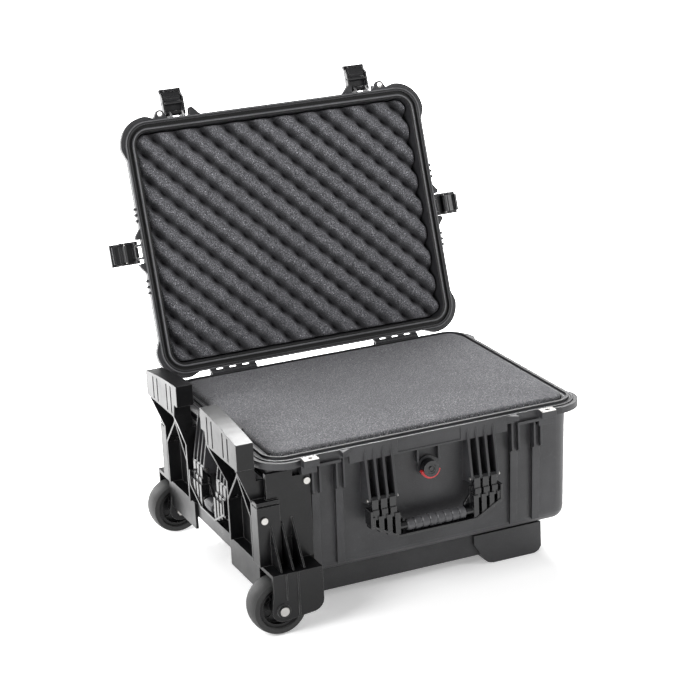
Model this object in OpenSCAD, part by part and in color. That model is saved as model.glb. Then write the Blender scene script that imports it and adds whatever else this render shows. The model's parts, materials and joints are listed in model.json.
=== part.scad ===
// Hard equipment case on a bolted wheel kit: drafted tub, hinged lid on two
// rear hinges, four double-throw latches, two drop handles, a pull-out trolley
// handle under the tub and two wheel towers at the left end.
// X runs along the length, the latched front faces -Y, the floor is z = 0.

/* [Case] */
// Length of the rim flange
flange_l = 602; // [540:1:740]
// Width of the rim flange, front to back
flange_w = 474; // [440:1:580]
// Plan radius of the flange corners
flange_r = 46; // [42:1:60]
// Depth of the tub below the rim
tub_depth = 228; // [200:1:290]
// Depth of the lid above the rim
lid_depth = 62; // [52:1:90]
// Wall thickness of tub and lid
wall = 5; // [3.5:0.5:6]
// How far the walls lean in from rim to floor of the tub
draft = 6; // [3:1:9]
// Radius along the bottom edges of the tub
bottom_r = 24; // [12:1:28]
// Angle between the rims when the lid rests open
lid_open = 108; // [95:1:115]

/* [Rim] */
// Flange overhang outside the tub wall
overhang = 15; // [12:1:18]
// Height of the skirt that hangs from the rim flange
skirt_h = 16; // [12:1:20]
// Thickness of the flange and its skirt
flange_t = 5; // [4:0.5:6]
// Outward bulge of the corner bumpers
bumper = 8; // [4:1:10]
// Air gap between the closed rims
rim_gap = 0.6; // [0.4:0.1:1]
// Height of the tongue that presses the gasket
tongue_h = 4; // [3:0.5:5]

/* [Foam] */
// How far the tub foam stands proud of the rim
foam_proud = 8; // [4:1:10]
// Clearance of every foam piece from the walls
foam_gap = 0.4; // [0.3:0.1:2]

/* [Latches] */
// Width of a latch lever
latch_w = 42; // [36:1:46]
// Length of a latch lever from its pin to its lip
latch_l = 47; // [46:1:58]
// Distance of the front latches from the middle
latch_x = 189; // [170:1:198]
// Radius of the lever pins
latch_pin_r = 2.5; // [2:0.1:3]
// Radial clearance of every turning pin
pin_gap = 0.06; // [0.03:0.01:0.1]

/* [Handles] */
// Half width of the front handle
front_handle_w = 126; // [110:1:134]
// Half width of the side handle
side_handle_w = 86; // [74:1:90]
// Depth of the handle pins below the rim
handle_drop = 98; // [90:1:104]
// Radius of the handle pins
handle_pin_r = 3; // [2.5:0.1:3.5]
// Travel of the trolley handle
trolley_travel = 380; // [250:1:400]
// Outer radius of the trolley tubes
trolley_r = 8; // [6:0.5:9]

/* [Wheel kit] */
// Clearance of the tub above the floor
stand_h = 67; // [64:1:90]
// Radius of the wheels
wheel_r = 50; // [44:1:54]
// Width of a wheel
wheel_w = 42; // [34:1:44]
// Radius of the axle bolts
axle_r = 5; // [4:0.5:6]
// Height of the tower caps above the rim
cap_rise = 54; // [40:1:60]

/* [Hidden] */
$fn = 48;

black = [0.09, 0.09, 0.10];
glossy = [0.13, 0.13, 0.14];
charcoal = [0.24, 0.24, 0.25];
steel = [0.72, 0.72, 0.70];
red = [0.75, 0.10, 0.12];

// Rim, tub and lid, measured from the flange edge (outset) and the rim (z).
half_l = flange_l / 2;
half_w = flange_w / 2;
rim_z = tub_depth + stand_h;
tub_out = -overhang;
tub_in = tub_out - wall;
corner_x = half_l - flange_r;
corner_y = half_w - flange_r;
tongue_out = [-12, -8];
groove_out = [-13, -7];
groove_h = 7;
lid_lean = 3;
front_wall = half_w - overhang;
end_wall = half_l - overhang;

// Lean of the walls at a depth below the rim
function lean(z) = draft * min(1, -z / (tub_depth - bottom_r));

// Hinge
hinge_gap = 8;
hinge_y = half_w + hinge_gap;
hinge_r = 6;
hinge_pin_r = 2.5;
hinge_x = 168;
knuckle_w = 13;
knuckle_gap = 0.5;
hinge_knuckles = 7;

// Latch, in its own frame: pin at the origin, hanging to -Z, outwards is -Y
latch_out = 9;
latch_z = 20;
claw_w = latch_w - 10;
claw_y = -2;
claw_z = -20;
claw_pin_r = 2;
claw_rest = 7;
catch_z = -20;
catch_h = 5;
catch_out = 6;
hook_gap = 0.8;
claw_hook_z = catch_z - hook_gap - latch_z - claw_z;
latch_spots = [[-latch_x, -half_w, 0], [latch_x, -half_w, 0],
               [-half_l, 0, -90], [half_l, 0, 90]];

// Padlock lugs and latch guards
lug_half = 14;
lug_x = latch_x + latch_w / 2 + 1 + lug_half;
guard_x = latch_x - latch_w / 2 - 1;
lug_out = 16;
hole_out = 9;
hole_r = 4;
sleeve_t = 1.5;
plate_t = 2;

// Pressure valve in the front wall
valve_z = -67;
valve_r = 14.5;
valve_out = 20;

// Drop handles
handle_out = 25;
bracket_pitch = 16.5;
fin_t = 4;
fin_count = 4;
grip_r = 11;

// Trolley handle and tray
tray_h = 48;
tray_l = [-228, 238];
tray_w = 182;
trolley_y = 70;
trolley_z = stand_h - 24;
sleeve_r = trolley_r + 2.5;
trolley_grip_t = 28;
trolley_grip_x = tray_l[1] - trolley_grip_t;
trolley_hold = 35;
trolley_start = trolley_grip_x - trolley_travel - trolley_hold;
button_l = 36;
button_slot = 8;
button_travel = 4;

// Wheel kit, at the left end
axle_x = -half_l - 1;
cap_x = [-half_l - 46, -half_l - 15];
cap_y = [60, 224];
cap_r = 1448;
leg_x = [-half_l - 21, -end_wall - 8];
leg_y = [98, 216];
wing_y = [front_wall + 0.4, front_wall + 9];
block_y = front_wall + 16;
shelf_z = -180;
axle_z = wheel_r - rim_z;
hub_r = wheel_r - 14;
bearing_r = 11;
cheek_t = 6;
cheek_gap = 6;
cheek_clear = 0.2941;
wheel_y = front_wall - lean(shelf_z) + cheek_clear + wheel_w + cheek_gap + cheek_t;
cheek_y = [wheel_y - wheel_w - cheek_gap - cheek_t, wheel_y + cheek_gap];
foot_x = [105, 240];
foot_reach = 55;
kit_gap = 0.3;
screw_spots = [[-half_l + 73, -44, wing_y[1]], [-half_l - 9, -98, block_y]];

// Outlines of a tower's end plate and of a wheel cheek, as (x, z) points
end_outline = [[cap_x[0], -7], [cap_x[1], -7], [cap_x[1] + 4, -20], [cap_x[1] + 4, -34],
               [leg_x[1], -34], [leg_x[1], shelf_z], [leg_x[0], shelf_z], [leg_x[0], -72]];
cheek_outline = concat(
  [[-half_l - 17, shelf_z], [-half_l + 73, shelf_z], [-half_l + 73, axle_z + 6]],
  [for (k = [1:5]) [-half_l + 51 + 22 * cos(18 * k), axle_z + 6 - 20 * sin(18 * k)]],
  [for (k = [0:8]) [axle_x + 20 * cos(-70 - 15 * k), axle_z + 20 * sin(-70 - 15 * k)]],
  [[-half_l - 17, axle_z + 32]]);

// The body's middle in Y over all its pieces, lid open, goes to the origin
lid_back = hinge_y - (half_w * 2 + hinge_gap) * cos(lid_open) + lid_depth * sin(lid_open);
kit_front = cheek_y[1] + cheek_t + 6;
shift_y = (kit_front - lid_back) / 2;

module place() { translate([0, shift_y, 0]) children(); }
module at_rim() { place() translate([0, 0, rim_z]) children(); }

// Lid pieces are drawn closed, rim at z = 0, and turned about the hinge
module lid_place() {
  at_rim() translate([0, hinge_y, 0]) rotate([-lid_open, 0, 0]) translate([0, -hinge_y, 0])
    children();
}

module both_x() { children(); mirror([1, 0, 0]) children(); }
module both_y() { children(); mirror([0, 1, 0]) children(); }

// Extrudes an outline of (x, z) points along Y from y0 to y1
module along_y(y0, y1, points) {
  translate([0, y1, 0]) rotate([90, 0, 0]) linear_extrude(y1 - y0) polygon(points);
}

// Extrudes an outline of (y, z) points along X from x0 to x1
module along_x(x0, x1, points) {
  translate([x0, 0, 0]) rotate([90, 0, 90]) linear_extrude(x1 - x0) polygon(points);
}

module box(x, y, z) {
  translate([x[0], y[0], z[0]]) cube([x[1] - x[0], y[1] - y[0], z[1] - z[0]]);
}

module rod_x(r, x0, x1) { translate([x0, 0, 0]) rotate([0, 90, 0]) cylinder(r = r, h = x1 - x0); }
module rod_y(r, y0, y1) { translate([0, y1, 0]) rotate([90, 0, 0]) cylinder(r = r, h = y1 - y0); }

// Carries a profile of (outset, z) points round the rim line
module around(points) {
  arm = [for (p = points) [flange_r + p[0], p[1]]];
  for (turn = [0, 180]) rotate([0, 0, turn]) {
    translate([corner_x, corner_y, 0]) rotate_extrude(angle = 90) polygon(arm);
    translate([-corner_x, corner_y, 0]) rotate([0, 0, 90]) rotate_extrude(angle = 90) polygon(arm);
    translate([0, corner_y, 0]) along_x(-corner_x, corner_x, arm);
    translate([corner_x, 0, 0]) along_y(-corner_y, corner_y, arm);
  }
}

// The same for a solid piece: the profile starts and ends at the corner centres
module block_around(points) {
  low = points[len(points) - 1][1];
  high = points[0][1];
  around(concat([[-flange_r, high]], points, [[-flange_r, low]]));
  box([-corner_x, corner_x], [-corner_y, corner_y], [low, high]);
}

// Rounded lower or upper edge: points on a quarter circle
function quarter(out, z, r, up) =
  [for (k = [0:6]) [out - r + r * cos(15 * k), z + (up ? -1 : 1) * (r - r * sin(15 * k))]];

function tub_profile(out, depth, r, top) =
  concat([[out, top]], quarter(out - draft, -depth, r, false));

module ring(out, z) {
  around([[out[0], z[0]], [out[1], z[0]], [out[1], z[1]], [out[0], z[1]]]);
}

// Bumpers run round each corner and die away along the straight sides
module corner_bumpers(z) {
  both_x() both_y() translate([corner_x, corner_y, 0]) {
    rotate_extrude(angle = 90)
      translate([flange_r - flange_t, z[0]]) square([bumper + flange_t, z[1] - z[0]]);
    for (side = [0, 1]) mirror([side, -side, 0]) translate([0, 0, z[0]]) linear_extrude(z[1] - z[0])
      polygon([[0.1, flange_r - 1], [0.1, flange_r + bumper], [-6, flange_r + bumper * 0.85],
               [-14, flange_r + bumper * 0.45], [-20, flange_r + bumper * 0.15], [-24, flange_r - 1]]);
  }
}

module hinge_rods(r, w, steps) {
  for (k = steps) for (s = [-1, 1])
    translate([s * hinge_x + (k - (hinge_knuckles - 1) / 2) * knuckle_w, hinge_y, 0])
      rod_x(r, -w / 2, w / 2);
}

// Knuckles and their arms; side is -1 for the tub and 1 for the lid
module hinge_knuckles(steps, side) {
  w = knuckle_w - knuckle_gap;
  difference() {
    union() {
      hinge_rods(hinge_r, w, steps);
      for (k = steps) for (s = [-1, 1])
        translate([s * hinge_x + (k - (hinge_knuckles - 1) / 2) * knuckle_w, 0, 0])
          box([-w / 2, w / 2], [half_w - 2, hinge_y],
              side < 0 ? [-hinge_r, -rim_gap] : [rim_gap, hinge_r]);
    }
    hinge_rods(hinge_pin_r + (side > 0 ? pin_gap : 0), knuckle_w + 2, steps);
  }
}

// ---- Tub -------------------------------------------------------------

module label_recess() {
  box([-60, 60], [-half_w - 2, -half_w + 1.5], [-26, -4]);
}

// A latch guard: two thin fins to the full depth, then one shallow rib
module guard(x) {
  y = -front_wall;
  for (s = [-1, 1]) translate([x + 6.5 * s, 0, 0])
    along_x(-1.5, 1.5, [[y + draft, -2], [-half_w + 1, -2], [-half_w + 1, -68],
                        [y - 4, -74], [y + draft, -74]]);
  along_x(x - 7, x + 7, [[y + draft, -2], [y - 6, -2], [y - 6, -72],
                         [y + 1, 16 - tub_depth], [y + draft, 16 - tub_depth]]);
}

module triangle_lug() {
  translate([guard_x, 0, -10]) linear_extrude(9) polygon([[-24, -half_w + 3], [0, -half_w + 3],
                                                          [0, -half_w - 13]]);
}

// The lid's lug narrows to a round nose about its hole
module lid_lug(z) {
  translate([lug_x, -half_w - hole_out, z[0]]) linear_extrude(z[1] - z[0])
    polygon(concat([[-lug_half, hole_out + 3], [-lug_half, hole_out]],
                   [for (k = [0:10]) 7.5 * [cos(200 + 14 * k), sin(200 + 14 * k)]],
                   [[lug_half, hole_out], [lug_half, hole_out + 3]]));
}

module padlock_lug(z) {
  difference() {
    box([lug_x - lug_half, lug_x + lug_half], [-half_w - lug_out, -half_w + 3], z);
    translate([lug_x, -half_w - hole_out, z[0] - 1]) cylinder(r = hole_r + sleeve_t, h = 99);
  }
}

module front_catch() {
  box([-latch_w / 2, latch_w / 2], [-catch_out, flange_t], [catch_z, catch_z + catch_h]);
}

// Fins that carry a handle; the wall lies at y = 0 and the rim at z = 0
module handle_bracket(half) {
  difference() {
    for (s = [-1, 1]) for (k = [0:fin_count - 1])
      translate([s * (half - 2 - fin_t / 2 - k * bracket_pitch), 0, 0]) {
        along_x(-fin_t / 2, fin_t / 2,
                [[draft, -2], [-overhang + 1, -2], [-handle_out - 3, -handle_drop + 14],
                 [-handle_out - 5, -handle_drop], [-handle_out, -handle_drop - 7], [draft, -handle_drop - 12]]);
      }
    translate([0, -handle_out, -handle_drop]) rod_x(handle_pin_r, -half - 9, half + 9);
  }
}

module valve_mount() {
  for (s = [-1, 1])
    box([s * 20 - 1.5, s * 20 + 1.5], [-front_wall - 9, -front_wall + draft], [valve_z + 11, -20]);
  translate([0, -front_wall, valve_z]) rod_y(valve_r + 4.5, -3, draft);
}

module valve_hole() {
  translate([0, -front_wall, valve_z]) rod_y(9, -20, draft + wall + 2);
}

module base_shell() {
  color(black) at_rim() difference() {
    union() {
      difference() {
        union() {
          block_around(tub_profile(tub_out, tub_depth, bottom_r, -rim_gap / 2));
          for (x = [-lug_x + 14, -guard_x, guard_x, lug_x - 14]) guard(x);
          translate([0, -front_wall, 0]) handle_bracket(front_handle_w);
          translate([-end_wall, 0, 0]) rotate([0, 0, -90]) handle_bracket(side_handle_w);
          valve_mount();
        }
        block_around(tub_profile(tub_in, tub_depth - wall, bottom_r - wall, 1));
      }
      ring([tub_in, 0], [-flange_t, -rim_gap / 2]);
      ring([-flange_t, 0], [-skirt_h, -flange_t + 1]);
      ring(tongue_out, [-flange_t + 1, tongue_h]);
      corner_bumpers([-skirt_h + 2, -rim_gap / 2 - plate_t]);
      box([-150, 150], [-half_w, -half_w + flange_t], [-29, -skirt_h + 1]);
      both_x() triangle_lug();
      both_x() padlock_lug([-14, -rim_gap / 2 - plate_t]);
      both_x() box([lug_x - lug_half, lug_x + lug_half], [-half_w - 3, -front_wall], [-30, -12]);
      for (p = latch_spots) translate([p[0], p[1], 0]) rotate([0, 0, p[2]]) front_catch();
      hinge_knuckles([1, 3, 5], -1);
      for (s = [-1, 1]) for (y = [-54, -43, -32, 32, 43, 54])
        box([half_l - 6, half_l + 4], [y - 1.5, y + 1.5], [-skirt_h + 1, -4]);
    }
    label_recess();
    valve_hole();
  }
}

module foam_block(z, out, r) {
  block_around(concat([[out, z[1]]], r > 0 ? quarter(out, z[0], r, false) : [[out, z[0]]]));
}

module base_foam_top() {
  color(charcoal) at_rim()
    foam_block([-60, foam_proud], tub_in - lean(-60) - foam_gap, 0);
}

module base_foam_middle() {
  color(charcoal) at_rim()
    foam_block([-160, -60 - foam_gap], tub_in - lean(-160) - foam_gap, 0);
}

module base_foam_pad() {
  color(charcoal) at_rim()
    foam_block([-tub_depth + wall + foam_gap, -160 - foam_gap], tub_in - draft - foam_gap,
               bottom_r - wall);
}

// A steel sleeve with a plate on its upper end, square or round-nosed
module padlock_sleeve(z, half) {
  difference() {
    union() {
      translate([0, 0, z[0]]) cylinder(r = hole_r + sleeve_t - 0.05, h = z[1] - z[0]);
      if (half > 8) box([-half, half], [-6.5, hole_out], [z[1] - plate_t, z[1]]);
      else translate([0, 0, z[1] - plate_t]) {
        cylinder(r = half, h = plate_t);
        box([-half, half], [0, hole_out - 4], [0, plate_t]);
      }
    }
    translate([0, 0, z[0] - 1]) cylinder(r = hole_r, h = z[1] - z[0] + 2);
  }
}

module base_padlock_plates() {
  color(steel) at_rim() both_x() translate([lug_x, -half_w - hole_out, 0])
    padlock_sleeve([-14, -rim_gap / 2], lug_half - 0.5);
}

module hinge_pins() {
  span = hinge_knuckles * knuckle_w / 2 - knuckle_w;
  color(steel) at_rim() for (s = [-1, 1])
    translate([s * hinge_x, hinge_y, 0]) rod_x(hinge_pin_r, -span - 4, span + 4);
}

module valve_body() {
  color(glossy) at_rim() translate([0, -front_wall, valve_z]) difference() {
    union() {
      rod_y(valve_r, -valve_out, -3);
      rod_y(8.9, -4, lean(valve_z) + wall - 0.2);
    }
    rod_y(9, -valve_out - 1, 5 - valve_out);
  }
}

module valve_ring() {
  color(red) at_rim() translate([0, -front_wall, valve_z]) rotate([90, 0, 0]) translate([0, 0, 9])
    rotate([0, 0, 190]) rotate_extrude(angle = 160) translate([valve_r + 0.1, 0]) square([3.6, 8]);
}

module valve_core() {
  color(glossy) at_rim() translate([0, -front_wall, valve_z]) {
    difference() {
      rod_y(8.8, 1 - valve_out, 5 - valve_out);
      rod_y(6, -valve_out, 3 - valve_out);
    }
    rod_y(3.5, -valve_out, 3.1 - valve_out);
  }
}

// ---- Lid -------------------------------------------------------------

module latch_ears() {
  difference() {
    for (s = [-1, 1]) translate([s * 12, 0, 0])
      along_x(-2, 2, [[1, 2], [-latch_out - 3, latch_z - 6], [-latch_out - 5, latch_z],
                      [-latch_out - 3, latch_z + 5], [-latch_out + 3, latch_z + 6],
                      [overhang + 6, latch_z + 12], [overhang + 6, groove_h + 3],
                      [5, groove_h + 3], [5, 2]]);
    translate([0, -latch_out, latch_z]) rod_x(latch_pin_r, -20, 20);
  }
}

module latch_gusset() {
  for (s = [-1, 1]) translate([s * (latch_w / 2 + 4), 0, 0])
    along_x(-2, 2, [[1, 3], [-latch_out - 2, 12], [overhang + 6, 30],
                    [overhang + 6, groove_h + 3], [5, groove_h + 3], [5, 3]]);
}

// A corner lug beside a latch, standing out of the flange
module lid_triangle(reach) {
  translate([latch_w / 2 + 1, 0, rim_gap / 2 + plate_t]) linear_extrude(9)
    polygon([[0, 3], [0, -reach + 3], [3, -reach], [7, -reach], [24, 3]]);
}

module lid_ribs() {
  for (x = [-200, -100, 0, 100, 200])
    along_x(x - 13, x + 13, [[-half_w + 52, lid_depth - 1], [half_w - 52, lid_depth - 1],
                             [half_w - 58, lid_depth + 3], [-half_w + 58, lid_depth + 3]]);
}

function lid_profile(out, depth, r) =
  concat([[out, 0]], quarter(out - lid_lean, depth, r, true));

// A solid lid piece: the profile runs from its lowest to its highest point
module lid_block(points) {
  low = points[0][1];
  high = points[len(points) - 1][1];
  around(concat([[-flange_r, low]], points, [[-flange_r, high]]));
  box([-corner_x, corner_x], [-corner_y, corner_y], [low, high]);
}

module lid_shell() {
  r = 18;
  color(black) lid_place() difference() {
    union() {
      difference() {
        union() {
          translate([0, 0, rim_gap / 2]) lid_block(lid_profile(tub_out, lid_depth, r));
          for (p = latch_spots) translate([p[0], p[1], 0]) rotate([0, 0, p[2]]) {
            latch_ears();
            latch_gusset();
          }
          lid_ribs();
        }
        translate([0, 0, -0.2]) lid_block(lid_profile(tub_in, lid_depth - wall, r - wall));
      }
      difference() {
        ring([tub_in, 0], [rim_gap / 2, groove_h + 3]);
        ring(groove_out, [-1, groove_h]);
      }
      ring([-flange_t, 0], [rim_gap / 2 + 1, skirt_h - 2]);
      corner_bumpers([rim_gap / 2 + plate_t, skirt_h - 2]);
      both_x() lid_lug([rim_gap / 2, 13 - plate_t]);
      both_x() for (s = [-1, 1]) translate([lug_x + 9.5 * s, 0, 0])
        along_x(-1.5, 1.5, [[-half_w - 5, 4], [-half_w - 5, 12], [-front_wall, 34],
                            [-front_wall, groove_h + 3], [-half_w + 5, groove_h + 3], [-half_w + 5, 4]]);
      for (k = [0:3]) translate([latch_spots[k][0], latch_spots[k][1], 0]) rotate([0, 0, latch_spots[k][2]])
        for (s = k == 0 ? [1] : k == 1 ? [-1] : [-1, 1]) mirror([s < 0 ? 1 : 0, 0, 0])
          lid_triangle(k < 2 ? 15 : 10);
      hinge_knuckles([0, 2, 4, 6], 1);
      both_x() both_y() for (y = [56, 67, 78]) box([half_l - 4, half_l + 4], [y - 2.5, y + 2.5], [2, 12]);
    }
    both_x() translate([lug_x, -half_w - hole_out, -1]) cylinder(r = hole_r + sleeve_t, h = 40);
  }
}

module lid_gasket() {
  color("black") lid_place()
    ring([groove_out[0] + 0.2, groove_out[1] - 0.2], [tongue_h + 0.4, groove_h]);
}

module lid_foam() {
  color(charcoal) lid_place() {
    out = tub_in - lid_lean - foam_gap;
    lid_block([[out, foam_proud + 2], [out, lid_depth - wall - 12],
               [out - 12, lid_depth - wall - foam_gap]]);
  }
}

module lid_padlock_sleeves() {
  color(steel) lid_place() both_x() translate([lug_x, -half_w - hole_out, 0])
    padlock_sleeve([rim_gap / 2, 13], 7);
}

// Each latch is drawn closed in its own frame and turned open on its pin
module latch_place(k, angle) {
  p = latch_spots[k];
  lid_place() translate([p[0], p[1], 0]) rotate([0, 0, p[2]])
    translate([0, -latch_out, latch_z]) rotate([angle, 0, 0]) children();
}

module latch_pins() {
  color(steel) for (k = [0:3]) latch_place(k, 0) rod_x(latch_pin_r, -latch_w / 2 + 0.5, latch_w / 2 - 0.5);
}

module lever(k) {
  half = latch_w / 2;
  color(glossy) latch_place(k, -90) difference() {
    union() {
      box([-half, half], [-12, -8], [-latch_l, 4]);
      for (s = [-1, 1]) translate([s * (half - 1.5), 0, 0])
        along_x(-1.5, 1.5, [[2, -30], [2, 3], [-3, 6], [-12, 4], [-12, -latch_l + 8], [-6, -latch_l + 8]]);
      rod_x(5, -20, -14.5);
      rod_x(5, 14.5, 20);
      rod_x(5, -9.5, 9.5);
      for (x = [-9.5, 14.5]) box([x, x < 0 ? 9.5 : 20], [-9, 0], [-4.5, 4.5]);
      box([-20, -14.5], [-9, 0], [-4.5, 4.5]);
      box([-half, half], [-17, -8], [-latch_l, -latch_l + 5]);
      box([-half + 5, half - 5], [-14, -11], [-34, -31]);
    }
    rod_x(latch_pin_r + pin_gap, -half - 1, half + 1);
    translate([0, claw_y, claw_z]) rod_x(claw_pin_r, -half - 1, half + 1);
  }
}

module claw(k) {
  half = claw_w / 2;
  color(glossy) latch_place(k, -90) translate([0, claw_y, claw_z]) rotate([-claw_rest, 0, 0])
    difference() {
      union() {
        rod_x(4, -half, half);
        box([-half, half], [-2, 1.5], [claw_hook_z - 4, 0]);
        box([-half, half], [-2, 8], [claw_hook_z - 4, claw_hook_z]);
        box([-half, half], [-3.5, 3], [claw_hook_z + 9, claw_hook_z + 13]);
      }
      rod_x(claw_pin_r + pin_gap, -half - 1, half + 1);
      for (x = [-10, 0, 10]) box([x - 1, x + 1], [-4, 0], [claw_hook_z - 1, -7]);
    }
}

module claw_pin(k) {
  color(steel) latch_place(k, -90) translate([0, claw_y, claw_z])
    rod_x(claw_pin_r, -latch_w / 2 + 1, latch_w / 2 - 1);
}

// ---- Drop handles ----------------------------------------------------

// Drawn with the pin at the origin and the bail hanging to -Z, outwards is -Y:
// knuckles on the pin, a row of tines below them, a lip round the outside and a bar
module bail(half) {
  flat = half - 51;
  knuckle = bracket_pitch - fin_t - 1.2;
  lip = [[-half, -16], [-half, -44], [-flat, -72], [flat, -72], [half, -44], [half, -16]];
  inside = [[4 - half, -15], [4 - half, -42], [1 - flat, -68.5], [flat - 1, -68.5],
            [half - 4, -42], [half - 4, -15]];
  difference() {
    union() {
      difference() {
        along_y(-14, 10, lip);
        along_y(-15, 11, inside);
      }
      both_x() along_y(4, 9, [[half, -16], [half, -44], [flat, -72], [flat - 16, -72],
                              [flat - 16, -46], [flat - 4, -30], [flat - 4, -16]]);
      both_x() for (k = [0:fin_count - 1]) {
        x = half - 5 - k * (bracket_pitch - 1.2);
        box([x - 4.5, min(x + 4.5, half)], [-12, 6], [max(-46 - (half - x) * 0.52, -71), -28]);
      }
      both_x() for (k = [0:fin_count - 2])
        translate([half - 2 - fin_t / 2 - (k + 0.5) * bracket_pitch, 0, 0]) {
          rod_x(6.5, -knuckle / 2, knuckle / 2);
          box([-knuckle / 2, knuckle / 2], [-6.5, 3], [-20, 0]);
          box([-knuckle / 2, knuckle / 2], [-9, 6], [-34, -17]);
        }
      translate([0, -3, -57]) rod_x(grip_r - 4, -flat, flat);
    }
    rod_x(handle_pin_r + pin_gap, -half - 1, half + 1);
  }
}

module grip(half) {
  l = half - 69;
  translate([0, -3, -57]) difference() {
    rod_x(grip_r, -l, l);
    rod_x(grip_r - 4 + 0.05, -l - 1, l + 1);
  }
}

module front_pin_place() { at_rim() translate([0, -front_wall - handle_out, -handle_drop]) children(); }
module side_pin_place() {
  at_rim() translate([-end_wall - handle_out, 0, -handle_drop]) rotate([0, 0, -90]) children();
}

module handle_pins(half) {
  reach = half + 1;
  inside = half - 3 - fin_t - (fin_count - 1) * bracket_pitch - 1;
  color(steel) both_x() rod_x(handle_pin_r, inside, reach);
}

module front_handle_pins() { front_pin_place() handle_pins(front_handle_w); }
module side_handle_pins() { side_pin_place() handle_pins(side_handle_w); }
module front_handle_bail() { color(black) front_pin_place() bail(front_handle_w); }
module side_handle_bail() { color(black) side_pin_place() bail(side_handle_w); }
module front_handle_grip() { color(charcoal) front_pin_place() grip(front_handle_w); }
module side_handle_grip() { color(charcoal) side_pin_place() grip(side_handle_w); }

// ---- Tray, feet and trolley handle ------------------------------------

module under_tray() {
  low = stand_h - tray_h;
  color(black) place() difference() {
    box(tray_l, [-tray_w, tray_w], [low, stand_h]);
    box([tray_l[0] + 6, trolley_grip_x - 36], [24 - trolley_y, trolley_y - 24], [low - 1, stand_h - 6]);
    both_y() translate([0, trolley_y, trolley_z]) rod_x(sleeve_r, trolley_start - 4, 400);
    box([trolley_grip_x - 2, 400], [-104, 104], [trolley_z - 14, trolley_z + 14]);
    box([trolley_grip_x - 30, 400], [-46, 46], [low - 1, trolley_z + 14]);
  }
}

// A foot: a sole under the tray and a skin up its side
module foot() {
  sole = [[0, tray_h - 6], [16, 16], [20, 9], [27, 3], [38, 0]];
  half = (foot_x[1] - foot_x[0]) / 2;
  round_end = [[2 * half - 14, 0], [2 * half - 5, 4], [2 * half, 12]];
  color(black) translate([foot_x[0], 0, 0]) {
    along_y(tray_w + kit_gap, tray_w + kit_gap + 5,
            concat([[0, stand_h - 8]], sole, round_end, [[2 * half, stand_h - 8]]));
    along_y(tray_w - foot_reach, tray_w + kit_gap + 1,
            concat([[14, stand_h - tray_h]], [for (p = sole) if (p[0] > 14 && p[1] < 19) p], round_end,
                   [[2 * half, stand_h - tray_h]]));
  }
}

module front_foot() { place() mirror([0, 1, 0]) foot(); }
module rear_foot() { place() foot(); }

module trolley_sleeves() {
  color("silver") place() both_y() translate([0, trolley_y, trolley_z]) difference() {
    rod_x(sleeve_r, trolley_start, trolley_grip_x - 4);
    rod_x(trolley_r + pin_gap, trolley_start + 3, 400);
  }
}

module trolley_tubes() {
  color("silver") place() both_y() translate([0, trolley_y, trolley_z]) difference() {
    rod_x(trolley_r, trolley_start + 4, trolley_grip_x + 18);
    rod_x(trolley_r - 1.5, trolley_start, trolley_grip_x + 8);
  }
}

module trolley_grip() {
  x = [trolley_grip_x, trolley_grip_x + trolley_grip_t];
  color(black) place() difference() {
    box(x, [-102, 102], [trolley_z - 12, trolley_z + 12]);
    box([x[0] - 1, x[0] + 10], [-46, 46], [trolley_z - 13, trolley_z + 13]);
    both_y() translate([0, trolley_y, trolley_z]) rod_x(trolley_r, x[0] - 1, x[0] + 18);
    box([x[1] - button_slot, x[1] + 1], [-button_l / 2 - 0.4, button_l / 2 + 0.4],
        [trolley_z - 6.4, trolley_z + 6.4]);
  }
}

module trolley_button() {
  x = trolley_grip_x + trolley_grip_t - button_slot;
  color(glossy) place()
    box([x + button_travel + 0.3, x + button_slot + 2.5], [-button_l / 2, button_l / 2],
        [trolley_z - 6, trolley_z + 6]);
}

// ---- Wheel kit ---------------------------------------------------------

function cap_top(y) = cap_rise + 1.3 - (cap_r - sqrt(cap_r * cap_r - y * y));

module tower_cap() {
  arch = [for (k = [0:8]) let (y = cap_y[0] + (cap_y[1] - cap_y[0]) * k / 8) [y, cap_top(y)]];
  difference() {
    union() {
      along_x(cap_x[0], cap_x[1], concat(arch, [[cap_y[1], -8], [cap_y[0] + 20, -8],
                                                [cap_y[0] + 16, 16], [cap_y[0], 16]]));
      box([cap_x[1] - 1, cap_x[1] + 6], [98, 168], [16, 44]);
    }
    for (y = [88, 110, 160, 182])
      along_x(cap_x[0] - 1, cap_x[0] + 6, [[y, -4], [y + 5, -4], [y + 5, cap_top(y) - 6],
                                           [y, cap_top(y) - 6]]);
  }
}

// A thin web between two (y, z) points
module web(a, b, t) {
  d = [b[0] - a[0], b[1] - a[1]];
  n = t / 2 / norm(d);
  along_x(leg_x[0], leg_x[1] - 2, [[a[0] - d[1] * n, a[1] + d[0] * n], [b[0] - d[1] * n, b[1] + d[0] * n],
                                   [b[0] + d[1] * n, b[1] - d[0] * n], [a[0] + d[1] * n, a[1] - d[0] * n]]);
}

module tower_frame() {
  along_y(leg_y[1] - 6, leg_y[1], end_outline);
  intersection() {
    along_y(cap_y[0], leg_y[0] + 6, end_outline);
    along_x(-400, 0, [[cap_y[0] + 20, -6], [cap_y[0] + 27, -6], [leg_y[0] + 6, -72],
                      [leg_y[0] + 6, -181], [leg_y[0], -181], [leg_y[0], -72], [cap_y[0] + 20, -22]]);
  }
  box([leg_x[1] - 4, leg_x[1]], [leg_y[0], leg_y[1]], [shelf_z, -34]);
  box([leg_x[0], cap_x[1] + 2], [cap_y[0] + 24, leg_y[1]], [-14, -7]);
  web([153, -44], [206, -100], 4);
  web([153, -44], [leg_y[0] + 4, -104], 4);
  web([206, -98], [206, shelf_z], 4);
  box([leg_x[0], -half_l - 1.5], [150.5, 155.5], [-48, -10]);
}

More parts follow.
